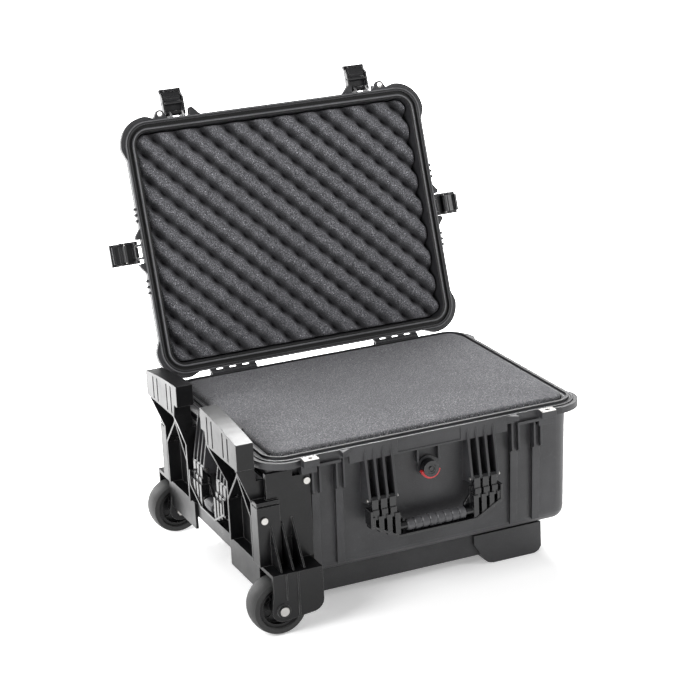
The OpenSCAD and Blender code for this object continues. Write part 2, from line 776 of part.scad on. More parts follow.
module tower_front_block() {
  x = [leg_x[0], -end_wall + 5];
  box(x, [leg_y[1] - 1, block_y], [shelf_z, -75]);
  box(x, [leg_y[1] - 1, block_y - 1], [-72, -66]);
  box([x[0] + 2, x[1] - 2], [leg_y[1] - 1, block_y - 4], [-76, -70]);
  along_y(wing_y[0], wing_y[1], [[-half_l - 11, shelf_z], [-half_l - 11, -76], [-half_l, -76],
                                 [-half_l, -20], [-half_l + 48, -20], [-half_l + 48, -32],
                                 [-half_l + 80, -32], [-half_l + 80, shelf_z]]);
  for (p = [[2, -108, block_y - 1], [23, -108, block_y - 1], [43, -103, wing_y[1] + 1]])
    along_x(p[0] - half_l - 1.5, p[0] - half_l + 1.5,
            [[wing_y[0] + 2, p[1]], [p[2], p[1]], [cheek_y[1], shelf_z + 1],
             [wing_y[0] + 2, shelf_z + 1]]);
}

module tower_wheel_box() {
  difference() {
    union() {
      for (y = cheek_y) along_y(y, y + cheek_t, cheek_outline);
      box([-half_l - 17, -half_l + 73], [cheek_y[0], cheek_y[1] + cheek_t], [shelf_z - 6, shelf_z]);
      box([-half_l + 67, -half_l + 73], [cheek_y[0], cheek_y[1] + cheek_t], [axle_z + 10, shelf_z]);
      box([-half_l - 17, -half_l - 12], [leg_y[0] - 10, cheek_y[0] + 1], [shelf_z - 52, shelf_z]);
      box([-half_l - 17, leg_x[1]], [leg_y[0] - 10, cheek_y[0] + 1], [shelf_z - 6, shelf_z]);
      for (p = [[7, 18], [28, -14]])
        box([p[0] - half_l - 1.5, p[0] - half_l + 1.5],
            [cheek_y[1] + 1, cheek_y[1] + cheek_t + 2], [axle_z + p[1], shelf_z]);
      translate([axle_x, 0, axle_z]) rod_y(12, cheek_y[1], cheek_y[1] + cheek_t + 3);
    }
    translate([axle_x, 0, axle_z]) rod_y(axle_r, 0, 400);
    translate([axle_x, 0, axle_z]) rod_y(9, cheek_y[1] + cheek_t, 400);
  }
}

module front_tower() { color(glossy) at_rim() mirror([0, 1, 0]) tower_body(); }
module rear_tower() { color(glossy) at_rim() tower_body(); }
module tower_body() {
  difference() {
    union() { tower_cap(); tower_frame(); tower_front_block(); tower_wheel_box(); }
    for (p = screw_spots) translate([p[0], 0, p[1]]) rod_y(3, 100, p[2] + 1);
  }
}

module kit_cross_member() {
  color(glossy) at_rim()
    box([-half_l - 12, leg_x[1]], [-leg_y[0] + 10.3, leg_y[0] - 10.3], [shelf_z - 28, shelf_z - 2]);
}

module kit_screws() {
  color(steel) at_rim() both_y() for (p = screw_spots) translate([p[0], p[2], p[1]]) {
    rod_y(6, 0, 3.5);
    rod_y(2.9, -9, 1);
  }
}

module axle_bolts() {
  color(steel) at_rim() both_y() translate([axle_x, 0, axle_z]) {
    rod_y(axle_r, cheek_y[0] - 12, cheek_y[1] + cheek_t);
    rod_y(8, cheek_y[1] + cheek_t, cheek_y[1] + cheek_t + 6);
  }
}

module axle_nuts() {
  color(steel) at_rim() both_y() translate([axle_x, 0, axle_z]) difference() {
    translate([0, cheek_y[0], 0]) rotate([90, 0, 0]) cylinder(r = 9, h = 7, $fn = 6);
    rod_y(axle_r, 0, 400);
  }
}

module wheel_place(s) {
  at_rim() translate([axle_x, s * (wheel_y - wheel_w / 2), axle_z]) children();
}

module wheel_hub(s) {
  w = wheel_w / 2 - 4;
  color(black) wheel_place(s) difference() {
    rod_y(hub_r, -w, w);
    rod_y(bearing_r, -w - 1, w + 1);
    difference() {
      rod_y(hub_r - 5, -w - 1, -4);
      rod_y(bearing_r + 4, -w - 2, w);
    }
    difference() {
      rod_y(hub_r - 5, 4, w + 1);
      rod_y(bearing_r + 4, -w, w + 2);
    }
    for (k = [0:4]) rotate([0, 72 * k, 0]) translate([(hub_r + bearing_r) / 2 - 0.5, 0, 0]) rod_y(6, -9, 9);
  }
}

module wheel_tyre(s) {
  w = wheel_w / 2;
  color("dimgray") wheel_place(s) rotate([90, 0, 0]) rotate_extrude($fn = 96)
    polygon(concat([[hub_r, -w + 2], [hub_r + 2, -w]],
                   [for (k = [0:8]) let (v = -w + w * k / 4)
                      [wheel_r - 3.5 * pow(abs(v) / w, 2.4), v]],
                   [[hub_r + 2, w], [hub_r, w - 2]]));
}

module wheel_bearings(s) {
  w = wheel_w / 2 - 4;
  color(steel) wheel_place(s) for (y = [-w, w - 7]) difference() {
    rod_y(bearing_r, y, y + 7);
    rod_y(axle_r + pin_gap, y - 1, y + 8);
  }
}

module front_wheel_hub() { wheel_hub(-1); }
module rear_wheel_hub() { wheel_hub(1); }
module front_tyre() { wheel_tyre(-1); }
module rear_tyre() { wheel_tyre(1); }
module front_wheel_bearings() { wheel_bearings(-1); }
module rear_wheel_bearings() { wheel_bearings(1); }

module front_left_lever() { lever(0); }
module front_right_lever() { lever(1); }
module left_lever() { lever(2); }
module right_lever() { lever(3); }
module front_left_claw() { claw(0); }
module front_right_claw() { claw(1); }
module left_claw() { claw(2); }
module right_claw() { claw(3); }
module front_left_claw_pin() { claw_pin(0); }
module front_right_claw_pin() { claw_pin(1); }
module left_claw_pin() { claw_pin(2); }
module right_claw_pin() { claw_pin(3); }

base_shell();
base_foam_top();
base_foam_middle();
base_foam_pad();
base_padlock_plates();
hinge_pins();
valve_body();
valve_ring();
valve_core();
front_handle_pins();
side_handle_pins();
under_tray();
trolley_sleeves();
front_tower();
rear_tower();
kit_cross_member();
kit_screws();
axle_bolts();
axle_nuts();
front_foot();
rear_foot();
lid_shell();
lid_gasket();
lid_foam();
lid_padlock_sleeves();
latch_pins();
front_left_lever();
front_right_lever();
left_lever();
right_lever();
front_left_claw();
front_right_claw();
left_claw();
right_claw();
front_left_claw_pin();
front_right_claw_pin();
left_claw_pin();
right_claw_pin();
front_handle_bail();
front_handle_grip();
side_handle_bail();
side_handle_grip();
trolley_tubes();
trolley_grip();
trolley_button();
front_wheel_hub();
front_tyre();
front_wheel_bearings();
rear_wheel_hub();
rear_tyre();
rear_wheel_bearings();
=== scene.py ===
import json

import bpy
import numpy as np
from mathutils import Matrix, Vector


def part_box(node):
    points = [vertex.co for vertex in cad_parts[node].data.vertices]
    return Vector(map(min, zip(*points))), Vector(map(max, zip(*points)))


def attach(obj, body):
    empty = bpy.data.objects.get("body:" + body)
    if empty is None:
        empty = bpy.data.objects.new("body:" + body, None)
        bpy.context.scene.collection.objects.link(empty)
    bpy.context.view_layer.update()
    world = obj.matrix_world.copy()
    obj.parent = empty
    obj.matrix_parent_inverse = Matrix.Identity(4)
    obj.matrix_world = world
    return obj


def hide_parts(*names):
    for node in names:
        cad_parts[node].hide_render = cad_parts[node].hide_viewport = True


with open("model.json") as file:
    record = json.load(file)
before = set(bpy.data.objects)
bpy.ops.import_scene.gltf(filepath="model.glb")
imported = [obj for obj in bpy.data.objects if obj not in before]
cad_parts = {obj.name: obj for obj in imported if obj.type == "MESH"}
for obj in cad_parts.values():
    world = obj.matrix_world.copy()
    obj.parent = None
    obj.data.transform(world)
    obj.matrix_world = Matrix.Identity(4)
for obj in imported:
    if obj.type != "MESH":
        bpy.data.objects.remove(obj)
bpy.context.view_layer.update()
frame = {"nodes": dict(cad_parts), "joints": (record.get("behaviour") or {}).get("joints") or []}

nodes = frame["nodes"]
joints = {j["name"]: j for j in frame["joints"]}

# ---- Sizes of the case, in metres ------------------------------------------
foam_low, foam_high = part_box("base_foam_top")
middle_y = (foam_low.y + foam_high.y) / 2
hinge = Vector(joints["lid_hinge"]["pos_m"])
rim = hinge.z
open_angle = np.radians(-joints["lid_hinge"]["range_deg"][0])
flange_x, flange_y, flange_r = 0.301, 0.237, 0.046


def lid_points(p):
    """Closed-lid coordinates (x, y from the middle of the case, z above the rim) turned open
    about the hinge line: y' = y cos a + z sin a, z' = -y sin a + z cos a, measured from it."""
    p = np.asarray(p, float)
    arm = hinge.y - middle_y
    y, z = p[..., 1] - arm, p[..., 2]
    c, s = np.cos(open_angle), np.sin(open_angle)
    return np.stack([p[..., 0], hinge.y + y * c + z * s, rim - y * s + z * c], -1)


def case_points(p):
    """Case coordinates (from the middle of the case, z above the rim) in the row frame."""
    return np.asarray(p, float) + [0.0, middle_y, rim]


# ---- Mesh helpers ------------------------------------------------------------
def add_mesh(name, verts, quads, finish, body):
    """Puts whole arrays of points and faces into one mesh, and hangs it on a body."""
    mesh = bpy.data.meshes.new(name)
    mesh.from_pydata(verts.reshape(-1, 3).tolist(), [], quads)
    mesh.validate()
    mesh.polygons.foreach_set("use_smooth", np.ones(len(mesh.polygons), bool))
    mesh.update()
    obj = bpy.data.objects.new(name, mesh)
    bpy.context.scene.collection.objects.link(obj)
    obj.data.materials.append(finish)
    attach(obj, body)
    return obj


def grid_quads(rows, cols, wrap_rows=False, wrap_cols=False, start=0, flip=False):
    """Quads of a grid of points numbered row by row."""
    r = np.arange(rows if wrap_rows else rows - 1)[:, None]
    c = np.arange(cols if wrap_cols else cols - 1)[None, :]
    a = r * cols + c
    b = r * cols + (c + 1) % cols
    d = ((r + 1) % rows) * cols + c
    e = ((r + 1) % rows) * cols + (c + 1) % cols
    q = np.stack([a, b, e, d], -1).reshape(-1, 4) + start
    return (q[:, ::-1] if flip else q).tolist()


def slab(x, y, top, bottom):
    """A closed block between two height fields over one grid: upper and lower sheets,
    joined round their edge by four strips."""
    rows, cols = x.shape
    n = rows * cols
    verts = np.concatenate([np.stack([x, y, top], -1).reshape(-1, 3),
                            np.stack([x, y, bottom], -1).reshape(-1, 3)])
    quads = grid_quads(rows, cols) + grid_quads(rows, cols, start=n, flip=True)
    i = np.arange(n).reshape(rows, cols)
    edge = np.concatenate([i[0, :-1], i[:-1, -1], i[-1, :0:-1], i[:0:-1, 0]])
    ahead = np.roll(edge, -1)
    quads += np.stack([edge, edge + n, ahead + n, ahead], -1).tolist()
    return verts, quads


def spread(half, count, edge):
    """Grid lines across -half..half, closer together in the last edge millimetres."""
    near = edge * (1 - np.cos(np.linspace(0, np.pi / 2, 7)))
    inner = np.linspace(-half + edge, half - edge, count)[1:-1]
    return np.concatenate([-half + near, inner, (half - near)[::-1]])


def rounded_grid(half_x, half_y, r, step, edge):
    """Points over a rectangle with round corners: each line across is shortened so that
    it ends on the corner's circle, x_end = half_x - r + sqrt(r^2 - d^2)."""
    u = spread(half_x, int(2 * half_x / step), edge)
    v = spread(half_y, int(2 * half_y / step), edge)
    d = np.clip(np.abs(v) - (half_y - r), 0, r)
    reach = half_x - r + np.sqrt(np.maximum(r * r - d * d, 0))
    x = u[None, :] / half_x * reach[:, None]
    y = np.repeat(v[:, None], len(u), 1)
    return x, y


def inset(x, y, half_x, half_y, r):
    """Distance of a point inside a rounded rectangle from its edge."""
    qx, qy = np.abs(x) - (half_x - r), np.abs(y) - (half_y - r)
    outer = np.hypot(np.maximum(qx, 0), np.maximum(qy, 0)) + np.minimum(np.maximum(qx, qy), 0)
    return np.maximum(r - outer, 0)


def soft_edge(d, r):
    """Drop of a surface near its edge: a quarter circle of radius r, 0 beyond r."""
    t = np.clip(d, 0, r)
    return r - np.sqrt(np.maximum(r * r - (r - t) ** 2, 0))


def around_rim(out, z, n=14):
    """Closed path round the rim at an outset from the flange edge: four quarter circles of
    radius flange_r + out about the corner centres. Returns points and outward directions."""
    t = np.linspace(0, np.pi / 2, n)
    cx, cy = flange_x - flange_r, flange_y - flange_r
    path, away = [], []
    for k, (sx, sy) in enumerate([(1, 1), (-1, 1), (-1, -1), (1, -1)]):
        a = t + k * np.pi / 2
        n2 = np.stack([np.cos(a), np.sin(a)], -1)
        path.append(np.array([sx * cx, sy * cy]) + n2 * (flange_r + out))
        away.append(n2)
    path, away = np.concatenate(path), np.concatenate(away)
    return (np.column_stack([path, np.full(len(path), z)]),
            np.column_stack([away, np.zeros(len(away))]))


def rim_bead(profile, n=14):
    """Carries a closed profile of (outset, z) points round the rim line."""
    rings = []
    for out, z in profile:
        rings.append(around_rim(out, z, n)[0])
    pts = np.stack(rings, 1)
    return pts, grid_quads(pts.shape[0], pts.shape[1], True, True, flip=True)


def turned(centre, axis, profile, sides=48):
    """Surface of revolution: (radius, along) points turned about an axis through centre,
    left open at both ends."""
    axis = np.asarray(axis, float) / np.linalg.norm(axis)
    side = np.cross(axis, [0, 0, 1.0])
    if np.linalg.norm(side) < 0.1:
        side = np.cross(axis, [0, 1.0, 0])
    side /= np.linalg.norm(side)
    up = np.cross(axis, side)
    t = np.linspace(0, 2 * np.pi, sides, endpoint=False)
    ring = np.cos(t)[:, None] * side + np.sin(t)[:, None] * up
    prof = np.asarray(profile, float)
    pts = (np.asarray(centre, float) + prof[:, 1][:, None, None] * axis
           + prof[:, 0][:, None, None] * ring[None])
    return pts, grid_quads(len(prof), sides, False, True)


def closed_turned(name, centre, axis, profile, finish, body, sides=48):
    """A turned piece whose two ends are closed by a middle point each."""
    pts, quads = turned(centre, axis, profile, sides)
    axis = np.asarray(axis, float) / np.linalg.norm(axis)
    n = pts.shape[0] * sides
    ends = np.array([np.asarray(centre) + axis * profile[k][1] for k in (0, -1)])
    verts = np.concatenate([pts.reshape(-1, 3), ends])
    last = (pts.shape[0] - 1) * sides
    k = np.arange(sides)
    quads += [[int(n), int((a + 1) % sides), int(a)] for a in k]
    quads += [[int(n + 1), int(last + a), int(last + (a + 1) % sides)] for a in k]
    return add_mesh(name, verts, quads, finish, body)


# ---- Finishes ---------------------------------------------------------------
class Paint:
    """A material under construction: adds nodes and links them in one call."""

    def __init__(self, name, **sockets):
        self.material = bpy.data.materials.new(name)
        self.material.use_nodes = True
        self.tree = self.material.node_tree
        self.shader = self.tree.nodes["Principled BSDF"]
        self.coords = self.tree.nodes.new("ShaderNodeTexCoord").outputs["Object"]
        for socket, value in sockets.items():
            self.shader.inputs[socket.replace("_", " ")].default_value = value

    def node(self, kind, inputs=None, **settings):
        made = self.tree.nodes.new("ShaderNode" + kind)
        for key, value in settings.items():
            setattr(made, key, value)
        for key, value in (inputs or {}).items():
            if isinstance(value, bpy.types.NodeSocket):
                self.tree.links.new(value, made.inputs[key])
            else:
                made.inputs[key].default_value = value
        return made

    def noise(self, scale, detail=3.0, rough=0.55, stretch=None, warp=0.0):
        vector = self.coords
        if stretch:
            vector = self.node("Mapping", {"Vector": vector, "Scale": stretch}).outputs[0]
        return self.node("TexNoise", {"Vector": vector, "Scale": scale, "Detail": detail,
                                      "Roughness": rough, "Distortion": warp}).outputs["Fac"]

    def ramp(self, value, stops):
        made = self.node("ValToRGB", {"Fac": value})
        band = made.color_ramp
        while len(band.elements) < len(stops):
            band.elements.new(0.5)
        for element, (at, colour) in zip(band.elements, stops):
            element.position = at
            element.color = (*colour, 1) if len(colour) == 3 else colour
        return made.outputs["Color"]

    def grey(self, value, low, high, a=0.0, b=1.0):
        """Maps a pattern to a number between a and b."""
        return self.node("MapRange", {"Value": value, "From Min": low, "From Max": high,
                                      "To Min": a, "To Max": b}).outputs["Result"]

    def mix(self, factor, a, b):
        made = self.node("Mix", {"Factor": factor}, data_type="RGBA", blend_type="MIX")
        for key, value in (("A", a), ("B", b)):
            socket = [s for s in made.inputs if s.name == key and s.type == "RGBA"][0]
            if isinstance(value, bpy.types.NodeSocket):
                self.tree.links.new(value, socket)
            else:
                socket.default_value = (*value, 1) if len(value) == 3 else value
        return [s for s in made.outputs if s.type == "RGBA"][0]

    def times(self, a, b):
        return self.node("Math", {0: a, 1: b}, operation="MULTIPLY").outputs[0]

    def bump(self, height, depth, strength=1.0, under=None):
        inputs = {"Height": height, "Strength": strength, "Distance": depth}
        if under is not None:
            inputs["Normal"] = under
        return self.node("Bump", inputs).outputs["Normal"]

    def edge(self, radius):
        return self.node("Bevel", {"Radius": radius}, samples=4).outputs["Normal"]

    def edge_highlight_mask(self, radius):
        """Mask of the painted edge highlight: 1 along an outer or inner edge and 0 on a flat face,
        by how far the rounded normal turns from the face's own."""
        face = self.node("NewGeometry").outputs["Normal"]
        turn = self.node("VectorMath", {0: self.edge(radius), 1: face}, operation="DOT_PRODUCT")
        return self.grey(turn.outputs["Value"], 0.985, 0.82)

    def put(self, **sockets):
        for socket, value in sockets.items():
            self.tree.links.new(value, self.shader.inputs[socket.replace("_", " ")])
        return self.material


def moulded(name, dark, light, rough, grain, grain_depth, edge, wear=0.0, shine=0.5,
            rim=(0.0, 0.05)):
    """Moulded plastic: fine pebble grain, cloudy colour, faint rubs and rounded edges, with a
    painted highlight in patches along the edges: rim is how strong it is, and the grey it paints."""
    p = Paint(name, Specular_IOR_Level=shine)
    cloud = p.noise(9.0, 4.0, 0.6)
    rubs = p.noise(60.0, 5.0, 0.7, stretch=(1.0, 0.25, 1.0), warp=0.6)
    pebble = p.noise(grain, 2.0, 0.5)
    colour = p.ramp(cloud, [(0.3, dark), (0.72, light)])
    specks = p.grey(p.noise(grain * 0.55, 1.0), 0.62, 0.75)
    colour = p.mix(p.times(specks, 0.25), colour, tuple(min(1.0, 3.2 * c + 0.01) for c in light))
    if wear:
        colour = p.mix(p.times(p.grey(rubs, 0.62, 0.8), wear), colour,
                       tuple(min(1.0, 2.4 * c + 0.015) for c in light))
    # Painted highlight: the rounded edges are lightened in patches towards the rim grey, standing
    # in for light caught on them
    if rim[0]:
        highlight_patches = p.grey(p.noise(45.0, 3.0), 0.3, 0.65, 0.35 * rim[0], rim[0])
        painted_edge_highlight = p.times(p.edge_highlight_mask(edge), highlight_patches)
        colour = p.mix(painted_edge_highlight, colour, (rim[1],) * 3)
    roughness = p.grey(p.noise(22.0, 4.0, 0.6), 0.25, 0.8, rough - 0.06, rough + 0.09)
    under = p.bump(rubs, 0.0002, 0.25, p.edge(edge))
    return p.put(Base_Color=colour, Roughness=roughness,
                 Normal=p.bump(pebble, grain_depth, 0.8, under))


def foam_finish(name, dark, light, sparkle, painted_hollow_shade=False):
    """Open-cell foam: small dark pores between lighter walls, with a few bright walls. A
    convoluted face gets painted shade in its hollows, darker by the depth written on its points."""
    p = Paint(name, Roughness=0.95, Specular_IOR_Level=0.15, Sheen_Weight=0.2,
              Sheen_Roughness=0.6, Sheen_Tint=(0.8, 0.8, 0.85, 1))
    pores = p.noise(330.0, 3.0, 0.85)
    fine = p.noise(620.0, 2.0, 0.7)
    cloud = p.noise(14.0, 3.0, 0.6)
    colour = p.ramp(pores, [(0.36, dark), (0.64, light)])
    colour = p.mix(p.times(p.grey(fine, 0.60, 0.68), 0.9), colour, sparkle)
    colour = p.mix(p.grey(cloud, 0.3, 0.75, 0.0, 0.25), colour, dark)
    if painted_hollow_shade:
        # Painted shade: the deeper a point lies in a groove or dimple, the darker its colour
        depth = p.node("Attribute", attribute_name="painted_shade_depth").outputs["Fac"]
        colour = p.mix(p.grey(depth, 0.30, 0.74, 0.0, 0.92), colour, tuple(0.35 * c for c in dark))
    normal = p.bump(fine, 0.0008, 0.55, p.bump(pores, 0.0016, 0.8))
    return p.put(Base_Color=colour, Normal=normal)


def metal(name, base, rough, along):
    """Brushed or turned metal: fine lines along one axis and cloudy stain."""
    p = Paint(name, Metallic=1.0)
    lines = p.noise(700.0, 3.0, 0.6, stretch=along)
    stain = p.noise(35.0, 4.0, 0.6)
    colour = p.ramp(stain, [(0.3, tuple(c * 0.82 for c in base)), (0.75, base)])
    roughness = p.grey(lines, 0.3, 0.75, rough - 0.08, rough + 0.14)
    return p.put(Base_Color=colour, Roughness=roughness,
                 Normal=p.bump(lines, 0.00006, 0.5, p.edge(0.0004)))


def rubber(name, dark, light, rough, dust=0.15):
    """Rubber: matt, softly mottled, with dust in the grain."""
    p = Paint(name, Specular_IOR_Level=0.4)
    mottle = p.noise(30.0, 4.0, 0.65)
    grain = p.noise(900.0, 2.0, 0.6)
    colour = p.ramp(mottle, [(0.3, dark), (0.75, light)])
    colour = p.mix(p.times(p.grey(grain, 0.6, 0.75), dust), colour, (0.16, 0.155, 0.15))
    roughness = p.grey(mottle, 0.25, 0.8, rough - 0.07, rough + 0.08)
    return p.put(Base_Color=colour, Roughness=roughness,
                 Normal=p.bump(grain, 0.00012, 0.7, p.edge(0.0006)))


# The rim pair on each row is the strength and the grey of the painted edge highlight
shell_black = moulded("shell_black", (0.014, 0.014, 0.0155), (0.032, 0.032, 0.035), 0.42,
                      1500.0, 0.00022, 0.0011, wear=0.34, rim=(0.6, 0.10))
kit_black = moulded("kit_black", (0.0025, 0.0025, 0.0028), (0.005, 0.005, 0.0055), 0.31,
                    1100.0, 0.00004, 0.0012, wear=0.10, shine=0.30, rim=(0.9, 0.20))
latch_black = moulded("latch_black", (0.008, 0.008, 0.0088), (0.018, 0.018, 0.0198), 0.28,
                      1200.0, 0.00005, 0.0011, wear=0.2, rim=(0.9, 0.16))
handle_black = moulded("handle_black", (0.004, 0.004, 0.0045), (0.008, 0.008, 0.009), 0.20,
                       1200.0, 0.00004, 0.0011, wear=0.12, rim=(0.8, 0.16))
foot_black = moulded("foot_black", (0.012, 0.012, 0.013), (0.022, 0.022, 0.024), 0.5,
                     1300.0, 0.0002, 0.0012, wear=0.2)
tray_black = moulded("tray_black", (0.012, 0.012, 0.013), (0.022, 0.022, 0.024), 0.55,
                     1300.0, 0.0002, 0.0010, wear=0.2)
tub_foam = foam_finish("tub_foam_charcoal", (0.022, 0.022, 0.024), (0.13, 0.13, 0.135),
                       (0.62, 0.62, 0.64))
lid_foam = foam_finish("lid_foam_charcoal", (0.030, 0.030, 0.033), (0.16, 0.16, 0.172),
                       (0.75, 0.75, 0.80), painted_hollow_shade=True)
# Light grey for the lip lines on the rims: a painted highlight where the lips catch the light
painted_lip_highlight = moulded("painted_lip_highlight", (0.085, 0.085, 0.09), (0.14, 0.14, 0.148), 0.30,
                    1500.0, 0.0001, 0.0004, wear=0.2)
seal_rubber = rubber("seal_rubber", (0.004, 0.004, 0.004), (0.009, 0.009, 0.009), 0.6, dust=0.05)
grip_rubber = rubber("grip_rubber", (0.040, 0.040, 0.043), (0.085, 0.085, 0.09), 0.36)
tyre_rubber = rubber("tyre_rubber", (0.012, 0.012, 0.012), (0.024, 0.024, 0.024), 0.52, dust=0.25)
bright_steel = metal("bright_steel", (0.74, 0.72, 0.70), 0.24, (1.0, 14.0, 14.0))
bolt_steel = metal("bolt_steel", (0.50, 0.49, 0.47), 0.26, (6.0, 1.0, 6.0))
tube_alloy = metal("tube_alloy", (0.62, 0.62, 0.64), 0.3, (1.0, 20.0, 20.0))


def red_finish():
    """Glossy red sealing ring with a slight clouding."""
    p = Paint("ring_red", Specular_IOR_Level=0.5)
    cloud = p.noise(120.0, 3.0)
    colour = p.ramp(cloud, [(0.3, (0.42, 0.012, 0.016)), (0.75, (0.62, 0.03, 0.035))])
    return p.put(Base_Color=colour, Roughness=p.grey(cloud, 0.3, 0.7, 0.28, 0.42),
                 Normal=p.edge(0.0005))


ring_red = red_finish()

finish_of = {
    "base_shell": shell_black, "lid_shell": shell_black, "lid_gasket": seal_rubber,
    "base_padlock_plates": bright_steel, "lid_padlock_sleeves": bright_steel,
    "hinge_pins": bolt_steel, "latch_pins": bolt_steel,
    "front_handle_pins": bolt_steel, "side_handle_pins": bolt_steel,
    "valve_body": handle_black, "valve_core": handle_black, "valve_ring": ring_red,
    "front_tower": kit_black, "rear_tower": kit_black, "kit_cross_member": kit_black,
    "kit_screws": bolt_steel, "axle_bolts": bolt_steel, "axle_nuts": bolt_steel,
    "front_foot": foot_black, "rear_foot": foot_black, "under_tray": tray_black,
    "trolley_sleeves": tube_alloy, "trolley_tubes": tube_alloy, "trolley_grip": handle_black,
    "trolley_button": handle_black, "front_handle_bail": handle_black,
    "side_handle_bail": handle_black, "front_wheel_hub": kit_black, "rear_wheel_hub": kit_black,
    "front_tyre": tyre_rubber, "rear_tyre": tyre_rubber,
    "front_wheel_bearings": bolt_steel, "rear_wheel_bearings": bolt_steel,
}
for name, obj in nodes.items():
    finish = finish_of.get(name)
    if finish is None:
        finish = bolt_steel if name.endswith("claw_pin") else latch_black
    obj.data.materials.clear()
    obj.data.materials.append(finish)


# ---- Foam linings ------------------------------------------------------------
def lid_lining():
    """Convoluted face. u runs across the diagonal rows; a groove lies along each of them,
    g = ((1 + cos(2 pi u / U)) / 2)^1.4, and a dimple at every lattice point of the groove,
    e = ((1 + cos(2 pi x / U) cos(pi y / V)) / 2)^2 g; the face is rounded off at the outer edge."""
    hx, hy, r = flange_x - 0.0240, flange_y - 0.0240, 0.022
    x, y = rounded_grid(hx, hy, r, 0.0022, 0.006)
    pitch, row = 0.0490, 0.0252
    px, py = x + 0.0155, y - 0.0253
    u = px - py * (pitch / 2) / row
    shade = 0.5 + 0.5 * np.cos(2 * np.pi * u / pitch)
    groove = shade ** 1.4
    egg = 0.5 + 0.5 * np.cos(2 * np.pi * px / pitch) * np.cos(np.pi * py / row)
    dimple = np.clip(egg, 0, 1) ** 2 * groove
    wobble = 0.0006 * np.sin(37 * x + 1.3) * np.sin(53 * y + 0.4)
    face = 0.0102 + 0.0085 * groove + 0.0130 * dimple + wobble
    d = inset(x, y, hx, hy, r)
    face = np.maximum(face + soft_edge(d, 0.005), 0.0100)
    back = np.full_like(x, 0.0560) - 0.9 * soft_edge(d, 0.009)
    verts, quads = slab(x, y, -face, -back)
    verts[:, 2] *= -1
    quads = [q[::-1] for q in quads]
    obj = add_mesh("lid_lining", lid_points(verts), quads, lid_foam, "lid")
    # Painted shade for the foam finish: how deep each point lies in the grooves and dimples,
    # written on its points
    depth = 0.64 * shade + 0.36 * np.clip(egg, 0, 1) ** 1.5
    painted_shade_depth = obj.data.attributes.new("painted_shade_depth", "FLOAT", "POINT")
    painted_shade_depth.data.foreach_set("value", np.tile(depth.ravel(), 2))
    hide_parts("lid_foam")


def tub_layer(name, node, round_top, round_bottom, finish, dome=0.0):
    """A foam block inside its node's box: flat faces with quarter-circle edges, the upper
    one slightly domed, z = dome (1 - (x/a)^4)(1 - (y/b)^4)."""
    low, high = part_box(node)
    hx, hy = (high.x - low.x) / 2, (high.y - low.y) / 2
    r = max(0.012, hx - (flange_x - flange_r))
    x, y = rounded_grid(hx, hy, r, 0.008, max(round_top, round_bottom, 0.004))
    d = inset(x, y, hx, hy, r)
    swell = dome * (1 - (x / hx) ** 4) * (1 - (y / hy) ** 4)
    top = high.z - dome + swell - soft_edge(d, round_top) * (1 if round_top else 0)
    bottom = low.z + soft_edge(d, round_bottom) * (1 if round_bottom else 0)
    verts, quads = slab(x, y + middle_y, top, np.full_like(x, 1.0) * bottom)
    obj = add_mesh(name, verts, quads, finish, "base")
    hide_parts(node)


lid_lining()
tub_layer("tub_foam_upper", "base_foam_top", 0.0075, 0.0015, tub_foam, 0.0015)
tub_layer("tub_foam_middle", "base_foam_middle", 0.0015, 0.0015, tub_foam)
tub_layer("tub_foam_lower", "base_foam_pad", 0.0015, 0.016, tub_foam)


# ---- Hand grips --------------------------------------------------------------
def hand_grip(node, body, axis):
    """Ribbed grip: radius R(s) = R0 (1 - 0.10 s^2) less a shallow groove between each pair of
    bands, g = G exp(-(t / 0.09)^2), and narrower at the rounded ends."""
    low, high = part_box(node)
    centre = (low + high) / 2
    half = (high[axis] - low[axis]) / 2
    radius = (high.z - low.z) / 2
    along = np.linspace(-1, 1, 161)
    bands = 8
    phase = (along * 0.5 + 0.5) * bands
    gap = np.exp(-((phase - np.round(phase)) / 0.09) ** 2)
    r = radius * (1 - 0.10 * along ** 2) - 0.0020 * gap
    r = r * np.sqrt(np.clip(1 - np.clip((np.abs(along) - 0.94) / 0.06, 0, 1) ** 2 * 0.55, 0, 1))
    profile = np.column_stack([r, along * half])
    direction = [0, 0, 0]
    direction[axis] = 1.0
    obj = closed_turned(node + "_ribbed", centre, direction, profile, grip_rubber, body)
    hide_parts(node)


hand_grip("front_handle_grip", "front_handle", 0)
hand_grip("side_handle_grip", "side_handle", 1)


# ---- Wheel webs ----------------------------------------------------------------
def wheel_web(node, body):
    """A dished disc inside the hub's web, thicker in the middle: its faces are at
    y = -(t + c (1 - (r/R)^2)) and at y = t + c (1 - (r/R)^2)."""
    low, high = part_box(node)
    centre = (low + high) / 2
    reach = np.linspace(0.012, (high.z - low.z) / 2 - 0.004, 9)
    dish = 0.0012 * (1 - (reach / reach[-1]) ** 2)
    profile = np.concatenate([np.column_stack([reach, -0.0018 - dish]),
                              np.column_stack([reach, 0.0018 + dish])[::-1]])
    sides = 48
    pts = turned(centre, [0, 1, 0], profile, sides)[0]
    quads = grid_quads(len(profile), sides, True, True)
    add_mesh(node + "_web", pts, quads, kit_black, body)


wheel_web("front_wheel_hub", "front_wheel")
wheel_web("rear_wheel_hub", "rear_wheel")


# ---- Thin lines on the rims: painted highlights on the lips, painted shadows beside them ---
def rim_line(name, body, out, z, height, finish):
    """A thin half-round line round a rim face, from out[0] to out[1] in outset and rising
    height * sin(pi t) towards the other rim, closed behind inside the rim."""
    t = np.linspace(0, 1, 7)
    lid = body == "lid"
    side = -1 if lid else 1
    profile = [(out[0] + (out[1] - out[0]) * k, z + side * height * np.sin(np.pi * k)) for k in t]
    profile += [(out[1], z - side * 0.0006), (out[0], z - side * 0.0006)]
    pts, quads = rim_bead(profile[::side])
    pts = lid_points(pts) if lid else case_points(pts)
    add_mesh(name, pts, quads, finish, body)


